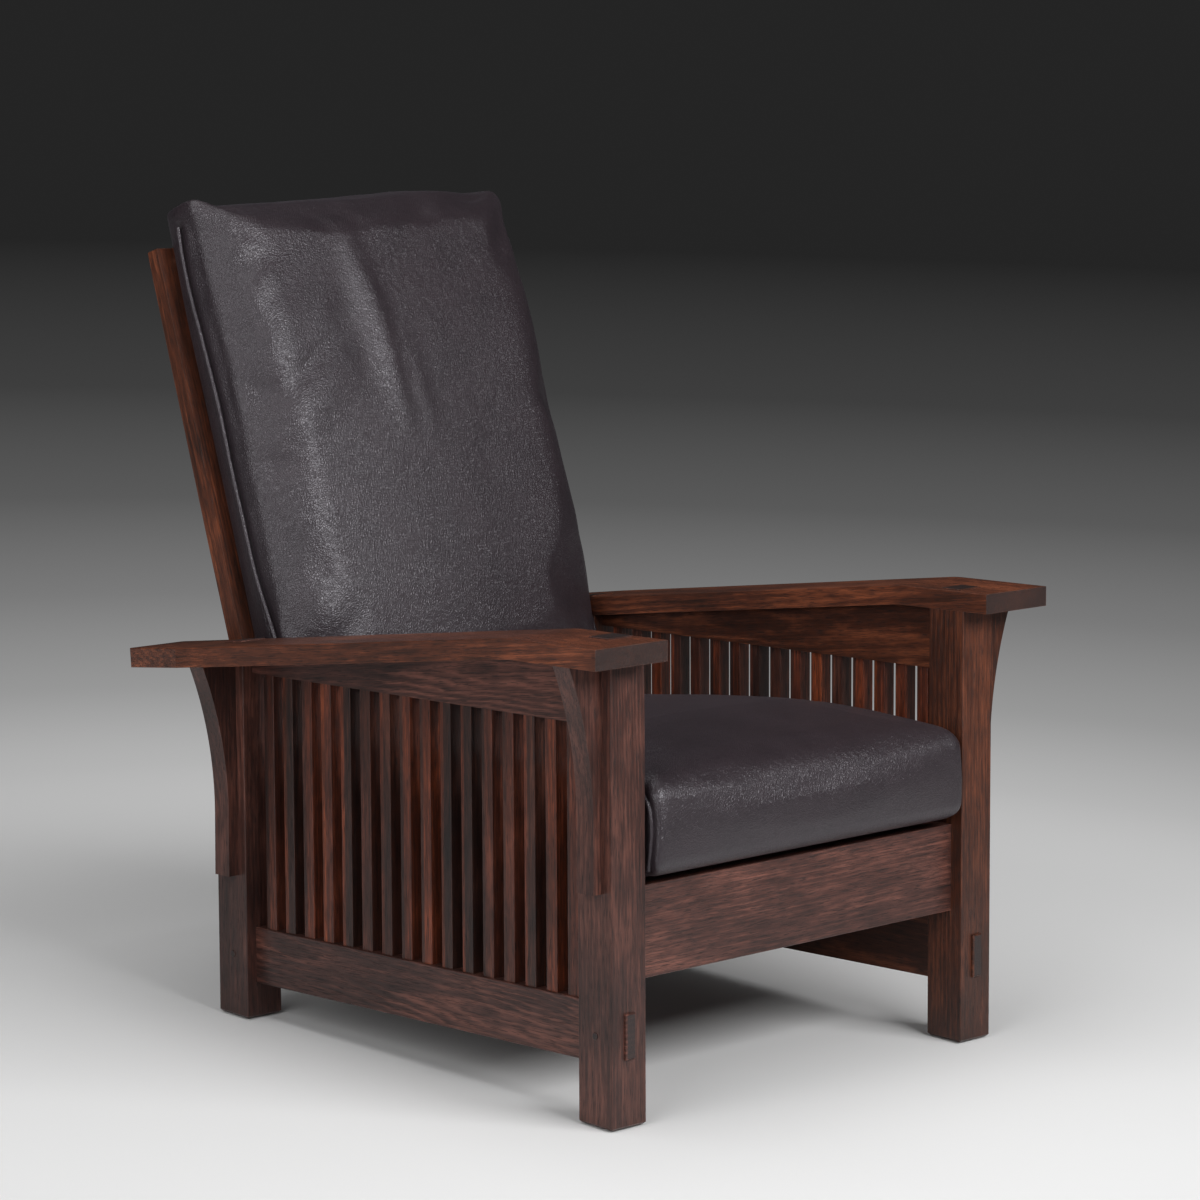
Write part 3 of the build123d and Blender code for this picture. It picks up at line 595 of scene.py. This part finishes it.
def refine(piece):
    """One level of subdivision, applied."""
    modifier = piece.modifiers.new("smooth", "SUBSURF")
    modifier.levels = 1
    modifier.render_levels = 1
    evaluated = piece.evaluated_get(bpy.context.evaluated_depsgraph_get())
    mesh = bpy.data.meshes.new_from_object(evaluated)
    piece.modifiers.remove(modifier)
    piece.data = mesh
    for polygon in mesh.polygons:
        polygon.use_smooth = True


def welt(name, path, material, body):
    """A leather piping along a seam."""
    curve = bpy.data.curves.new(name, "CURVE")
    curve.dimensions = "3D"
    curve.bevel_depth = piping_radius
    curve.bevel_resolution = 3
    curve.resolution_u = 3
    spline = curve.splines.new("NURBS")
    spline.points.add(len(path) - 1)
    for point, place in zip(spline.points, path):
        point.co = (*place, 1.0)
    spline.order_u = 4
    spline.use_endpoint_u = True
    curve.use_fill_caps = True
    piece = bpy.data.objects.new(name, curve)
    scene.collection.objects.link(piece)
    curve.materials.append(material)
    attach(piece, body)


# Back cushion, in metres along the back's own directions from the hinge
back_half = 0.281
back_low = 0.1335
back_high = 0.826
back_rest = 0.0133
back_front_face = 0.1245
back_crown = 0.016
back_front_radii = (0.088, 0.062, 0.054)
back_rear_radii = (0.012, 0.012, 0.012)
back_rear_taper = 0.014
slat_hollow = 0.009
# The stiles' inner faces, and the half width of the hollow that the bowed slats leave
stile_inside = 0.2535
hollow_half = 0.254
corner_power = 5.0
piping_radius = 0.0032
piping_proud = 0.0016
pinch_depth = 0.0032
pinch_width = 0.0065
# The side seam's depth by height
piping_depths = ((0.142, 0.082), (0.236, 0.074), (0.287, 0.064), (0.34, 0.058), (0.45, 0.056),
                 (0.58, 0.057), (0.65, 0.052), (0.71, 0.047), (0.75, 0.045), (0.783, 0.047),
                 (0.803, 0.052), (0.826, 0.05))
# Folds of the front panel as (x, height) ends, width and height in metres
back_folds = (
    ((-0.070, 0.770), (-0.050, 0.655), 0.020, 0.0034),
    ((-0.052, 0.685), (-0.040, 0.500), 0.019, 0.0044),
    ((-0.012, 0.615), (0.004, 0.480), 0.016, 0.0018),
    ((-0.100, 0.700), (-0.086, 0.560), 0.026, -0.0030),
    ((-0.262, 0.528), (-0.118, 0.622), 0.015, -0.0040),
    ((-0.236, 0.490), (-0.130, 0.570), 0.028, 0.0042),
    ((-0.278, 0.714), (-0.206, 0.734), 0.016, -0.0050),
    ((-0.275, 0.660), (-0.196, 0.716), 0.018, 0.0034),
    ((-0.281, 0.628), (-0.226, 0.642), 0.013, -0.0038),
    ((-0.272, 0.598), (-0.175, 0.668), 0.024, 0.0030),
    ((-0.281, 0.572), (-0.230, 0.546), 0.014, -0.0042),
    ((-0.278, 0.468), (-0.233, 0.450), 0.012, -0.0026),
    ((-0.277, 0.398), (-0.206, 0.272), 0.016, -0.0046),
    ((-0.270, 0.300), (-0.200, 0.215), 0.020, 0.0044),
    ((-0.277, 0.245), (-0.226, 0.196), 0.013, -0.0034),
    ((0.276, 0.690), (0.205, 0.728), 0.018, -0.0032),
    ((0.276, 0.500), (0.215, 0.535), 0.017, -0.0026),
    ((0.276, 0.330), (0.212, 0.270), 0.017, -0.0030),
)


def back_point(x, height, depth):
    return hinge + x_axis * x + back_up * height + back_front * depth


def back_cushion(material):
    counts = (92, 112, 20)
    points, quads = lattice(counts)
    # The lattice's z runs from the slats to the sitter, its y up the back
    half = np.array([back_half, (back_high - back_low) / 2, (back_front_face - back_rest) / 2])
    shaped = rounded(points, half, back_front_radii, back_rear_radii)
    x = shaped[:, 0]
    height = shaped[:, 1] + (back_high + back_low) / 2
    depth = shaped[:, 2] + (back_front_face + back_rest) / 2
    front = ease(depth, back_rest + 0.03, back_front_face)
    across = np.clip(1 - (x / back_half) ** 2, 0, 1)
    share = (height - back_low) / (back_high - back_low)
    depth += front * back_crown * across
    # Above the arms it is fuller and wider at the sitter's left
    fuller = ease(height, 0.2, 0.36)
    sideways = ease(x, 0.08, 0.24)
    depth += front * 0.004 * sideways * fuller
    x = x + 0.009 * sideways * (0.25 + 0.75 * fuller) * ease(depth, back_rest, 0.06)
    top = ease(height, 0.66, back_high)
    depth -= front * (0.014 * ease(height, 0.58, 0.8) + 0.012 * ease(0.3 - height, 0, 0.16))
    x = x * (1 - 0.012 * np.sin(np.pi * share) - 0.018 * top)
    x *= 1 - (1 - ease(depth, back_rest - 0.02, 0.06)) * back_rear_taper / back_half
    # The top is a little higher towards the sitter's left, and dips between its corners
    upper = ease(height, 0.72, back_high)
    height += upper * 0.0055 * np.exp(-(((x - 0.13) / 0.1) ** 2))
    height -= upper * 0.0035 * np.exp(-(((x + 0.13) / 0.12) ** 2))
    # Where three panels meet, the corner is pulled out into a small ear
    ear = np.exp(-(((np.abs(x) - 0.262) / 0.02) ** 2) - (((height - 0.815) / 0.022) ** 2))
    ear = ear * np.exp(-(((depth - 0.075) / 0.03) ** 2))
    ear = ear * np.where(x < 0, 1.0, 0.25)
    height += 0.008 * ear
    x = x + np.sign(x) * 0.006 * ear
    # The rear is flat on the stiles and follows the slats' hollow between them
    rear = 1 - ease(depth, back_rest, back_rest + 0.03)
    depth -= rear * slat_hollow * across * 0.9
    flat = np.stack([x, height], axis=1)
    for start, end, width, size in back_folds:
        depth += front * ridge(flat, start, end, width, size)
    base = np.array(hinge)
    axes = np.array([x_axis, back_up, back_front])
    coordinates = base + np.stack([x, height, depth], axis=1) @ axes
    piece = build_mesh("back_cushion_leather", coordinates, quads)
    side = (np.abs(points[:, 0]) > 0.9999).astype(float)
    seam = np.interp(height, *zip(*piping_depths))
    pinned = side * np.exp(-(((depth - seam) / 0.006) ** 2))
    pinned = np.maximum(pinned, (points[:, 2] < -0.999).astype(float))
    inflate(piece, pinned, 0.008, pressure=4.0, slack=-0.005, passes=12)
    refine(piece)
    settle_back(piece)
    dress(piece, material, "back_cushion", "back_cushion")
    seam_piping(piece, "back_cushion", material, back_seam_path)


def settle_back(piece):
    """Keep the cushion clear of the stiles and slats behind it."""
    coordinates = np.array([vertex.co for vertex in piece.data.vertices])
    axes = np.array([x_axis, back_up, back_front])
    local = (coordinates - np.array(hinge)) @ axes.T
    hollow = slat_hollow * (1 - (local[:, 0] / hollow_half) ** 2)
    floor = np.where(np.abs(local[:, 0]) > stile_inside, back_rest, back_rest - 0.001 - hollow)
    local[:, 2] = np.maximum(local[:, 2], floor)
    place_vertices(piece, np.array(hinge) + local @ axes)


def back_seam_path(side):
    """The line of the front panel's side seam, from near the bottom to near the top."""
    heights = np.linspace(back_low + 0.03, back_high - 0.03, 44)
    depths = np.interp(heights, *zip(*piping_depths))
    return [back_point(side * back_half, float(h), float(d)) for h, d in zip(heights, depths)]


def seam_piping(piece, body, material, path):
    """Pinch the leather along each side seam and lay the piping in it."""
    for side, word in ((-1, "right"), (1, "left")):
        coordinates = np.array([vertex.co for vertex in piece.data.vertices])
        line = []
        for place in path(side):
            distance = np.linalg.norm(coordinates - np.array(place), axis=1)
            near = coordinates[np.argsort(distance)[:6]].mean(axis=0)
            line.append(near)
        line = np.array(line)
        for _ in range(3):
            line[1:-1] = (line[:-2] + 2 * line[1:-1] + line[2:]) / 4
        gap = np.full(len(coordinates), 1e9)
        for start, end in zip(line, line[1:]):
            run = end - start
            along = np.clip(((coordinates - start) @ run) / max(run @ run, 1e-12), 0, 1)
            away = np.linalg.norm(coordinates - start - along[:, None] * run, axis=1)
            gap = np.minimum(gap, away)
        pull = pinch_depth * np.exp(-((gap / pinch_width) ** 2))
        coordinates[:, 0] -= side * pull
        place_vertices(piece, coordinates)
        line[:, 0] += side * piping_proud
        welt(f"{body}_piping_{word}", line, material, body)


def dress(piece, material, node, body):
    """Make a cushion stand for its CAD node and ride its body."""
    piece.data.materials.clear()
    piece.data.materials.append(material)
    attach(piece, body)
    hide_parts(node)


# Where the hinge lies behind the front posts' front faces and above their feet
hinge_behind = 0.682
hinge_above = 0.275
# Seat cushion, in metres along the base's own directions
seat_half = 0.283
seat_front = -0.0095
seat_back = 0.658
seat_low = 0.2888
seat_high = 0.424
seat_upper_radii = (0.036, 0.031, 0.033)
seat_lower_radii = (0.02, 0.02, 0.02)
# The top's height by depth
seat_profile = ((-0.02, 0.421), (0.05, 0.427), (0.12, 0.43), (0.2, 0.431), (0.35, 0.421),
                (0.565, 0.401), (0.64, 0.392))


def bench_origin():
    """The middle of the line where the front posts' front faces meet the base's plane."""
    low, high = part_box("hinge_bolt_right")
    middle = (low + high) / 2
    middle.x = 0
    return middle - bench_y * hinge_behind - bench_z * hinge_above


def seat_cushion(material):
    origin = bench_origin()
    counts = (92, 104, 22)
    points, quads = lattice(counts)
    half = np.array([seat_half, (seat_back - seat_front) / 2, (seat_high - seat_low) / 2])
    shaped = rounded(points, half, seat_upper_radii, seat_lower_radii)
    x = shaped[:, 0]
    y = shaped[:, 1] + (seat_back + seat_front) / 2
    z = shaped[:, 2] + (seat_high + seat_low) / 2
    upper = ease(z, seat_low + 0.03, seat_high)
    top = np.interp(y, *zip(*seat_profile))
    across = np.clip(1 - (x / seat_half) ** 2, 0, 1)
    z += upper * (top - seat_high + 0.013 * across * ease(y, 0.0, 0.16))
    # The front hangs clear of the rail and swells at the middle of its height
    front = 1 - ease(y, seat_front, 0.07)
    z += front * (1 - upper) * 0.011
    swell = np.sin(np.pi * np.clip((z - seat_low) / (seat_high - seat_low), 0, 1))
    y -= front * 0.004 * swell
    share = (y - seat_front) / (seat_back - seat_front)
    x = x * (1 - 0.010 * front - 0.008 * np.sin(np.pi * share))
    base = np.array(origin)
    axes = np.array([x_axis, bench_y, bench_z])
    coordinates = base + np.stack([x, y, z], axis=1) @ axes
    piece = build_mesh("seat_cushion_leather", coordinates, quads)
    side = (np.abs(points[:, 0]) > 0.9999).astype(float)
    pinned = side * (points[:, 2] > 0.55) * 0.9
    pinned = np.maximum(pinned, (points[:, 2] < -0.999).astype(float))
    inflate(piece, pinned, 0.005, pressure=2.5, slack=0.0, passes=30)
    refine(piece)
    coordinates = np.array([vertex.co for vertex in piece.data.vertices])
    local = (coordinates - base) @ axes.T
    local[:, 2] = np.maximum(local[:, 2], seat_low - 0.0004)
    place_vertices(piece, base + local @ axes)
    dress(piece, material, "seat_cushion", "seat_cushion")
    seam_piping(piece, "seat_cushion", material, seat_seam_path)


def seat_seam_path(side):
    """The side seam: up the front, round its corner and back along the top."""
    origin = bench_origin()
    places = [(0.006, 0.304), (-0.006, 0.335), (-0.0105, 0.37), (-0.006, 0.398), (0.010, 0.415)]
    along = np.linspace(0.04, 0.60, 30)
    places += list(zip(along, np.interp(along, *zip(*seat_profile)) - 0.006))
    places += [(0.63, 0.372), (0.636, 0.34), (0.63, 0.31)]
    return [origin + x_axis * side * seat_half + bench_y * float(y) + bench_z * float(z)
            for y, z in places]


def studio():
    """A pale floor, large soft lamps, and a sweep for what camera and gloss see."""
    mesh = bpy.data.meshes.new("floor")
    work = bmesh.new()
    bmesh.ops.create_grid(work, x_segments=8, y_segments=8, size=14.0)
    work.to_mesh(mesh)
    work.free()
    floor = bpy.data.objects.new("floor", mesh)
    scene.collection.objects.link(floor)
    graph = Graph("pale_floor")
    shader = graph.add("ShaderNodeBsdfPrincipled", Roughness=0.6)
    shader.inputs["Base Color"].default_value = rgb(floor_grey, floor_grey, floor_grey)
    shader.inputs["Specular IOR Level"].default_value = 0.2
    # Away from the chair the floor fades into the sweep, for camera and glossy rays
    far = graph.add("ShaderNodeEmission", Strength=1.0)
    distance = graph.add("ShaderNodeVectorMath", {"operation": "LENGTH"})
    coordinates = graph.add("ShaderNodeTexCoord")
    graph.tree.links.new(coordinates.outputs["Object"], distance.inputs[0])
    reach = sweep[-1][0]
    shades = [(place / reach, rgb(grey, grey, grey)) for place, grey in sweep]
    share = graph.math("DIVIDE", distance.outputs["Value"], reach)
    graph.tree.links.new(graph.ramp(share, shades), far.inputs["Color"])
    path = graph.add("ShaderNodeLightPath")
    fade = graph.add("ShaderNodeMapRange", {"interpolation_type": "SMOOTHSTEP"})
    graph.tree.links.new(distance.outputs["Value"], fade.inputs["Value"])
    fade.inputs["From Min"].default_value = fade_from
    fade.inputs["From Max"].default_value = fade_to
    seen = graph.math("MAXIMUM", path.outputs["Is Camera Ray"], path.outputs["Is Glossy Ray"])
    share = graph.math("MULTIPLY", fade.outputs[0], seen)
    blend = graph.add("ShaderNodeMixShader")
    output = graph.add("ShaderNodeOutputMaterial")
    graph.tree.links.new(share, blend.inputs[0])
    graph.tree.links.new(shader.outputs[0], blend.inputs[1])
    graph.tree.links.new(far.outputs[0], blend.inputs[2])
    graph.tree.links.new(blend.outputs[0], output.inputs["Surface"])
    mesh.materials.append(graph.material)

    world = bpy.data.worlds.new("studio")
    scene.world = world
    world.use_nodes = True
    tree = world.node_tree
    tree.nodes.clear()
    light = tree.nodes.new("ShaderNodeBackground")
    light.inputs["Color"].default_value = rgb(1, 1, 1)
    light.inputs["Strength"].default_value = world_strength
    shown = tree.nodes.new("ShaderNodeBackground")
    place = tree.nodes.new("ShaderNodeTexCoord")
    parts = tree.nodes.new("ShaderNodeSeparateXYZ")
    shade = tree.nodes.new("ShaderNodeValToRGB")
    grey = sweep[-1][1]
    for element, (where, value) in zip(
        shade.color_ramp.elements, ((0.0, grey), (0.45, sweep_overhead))
    ):
        element.position = where
        element.color = rgb(value, value, value)
    tree.links.new(place.outputs["Generated"], parts.inputs[0])
    tree.links.new(parts.outputs[2], shade.inputs[0])
    tree.links.new(shade.outputs[0], shown.inputs["Color"])
    path = tree.nodes.new("ShaderNodeLightPath")
    seen = tree.nodes.new("ShaderNodeMath")
    seen.operation = "MAXIMUM"
    blend = tree.nodes.new("ShaderNodeMixShader")
    output = tree.nodes.new("ShaderNodeOutputWorld")
    tree.links.new(path.outputs["Is Camera Ray"], seen.inputs[0])
    tree.links.new(path.outputs["Is Glossy Ray"], seen.inputs[1])
    tree.links.new(seen.outputs[0], blend.inputs[0])
    tree.links.new(light.outputs[0], blend.inputs[1])
    tree.links.new(shown.outputs[0], blend.inputs[2])
    tree.links.new(blend.outputs[0], output.inputs["Surface"])

    target = Vector((0, 0, 0.5))
    lamp("overhead", (-0.7, 0.3, 3.3), target, (2.2, 2.2), 38.0)
    lamp("front", (0.26, -3.15, 2.35), Vector((0, 0.2, 0.75)), (2.9, 1.2), 134.0)
    lamp("side", (-3.2, -0.9, 1.7), target, (2.4, 2.4), 60.0)


def lamp(name, place, target, size, power):
    light = bpy.data.lights.new(name, "AREA")
    light.shape = "RECTANGLE"
    light.size = size[0]
    light.size_y = size[1]
    light.energy = power
    holder = bpy.data.objects.new(name, light)
    holder.location = place
    holder.rotation_euler = (target - Vector(place)).to_track_quat("-Z", "Y").to_euler()
    scene.collection.objects.link(holder)


def camera():
    """The photograph's own viewpoint."""
    data = bpy.data.cameras.new("camera")
    data.sensor_fit = "HORIZONTAL"
    data.sensor_width = sensor
    data.lens = focal_pixels / frame_pixels * sensor
    data.dof.use_dof = False
    holder = bpy.data.objects.new("camera", data)
    forward = Vector((
        math.sin(camera_yaw) * math.cos(camera_pitch),
        math.cos(camera_yaw) * math.cos(camera_pitch),
        math.sin(camera_pitch),
    ))
    right = Vector((math.cos(camera_yaw), -math.sin(camera_yaw), 0))
    up = right.cross(forward)
    turned_right = right * math.cos(camera_roll) + up * math.sin(camera_roll)
    turned_up = up * math.cos(camera_roll) - right * math.sin(camera_roll)
    rotation = Matrix((turned_right, turned_up, -forward)).transposed()
    holder.matrix_world = Matrix.Translation(camera_place) @ rotation.to_4x4()
    scene.collection.objects.link(holder)
    scene.camera = holder


scene.view_settings.view_transform = "Standard"
camera()
studio()
finish_nodes()
soften_edges()
back_cushion(leather("leather_back", 1.0))
seat_cushion(leather("leather_seat", 5.0))
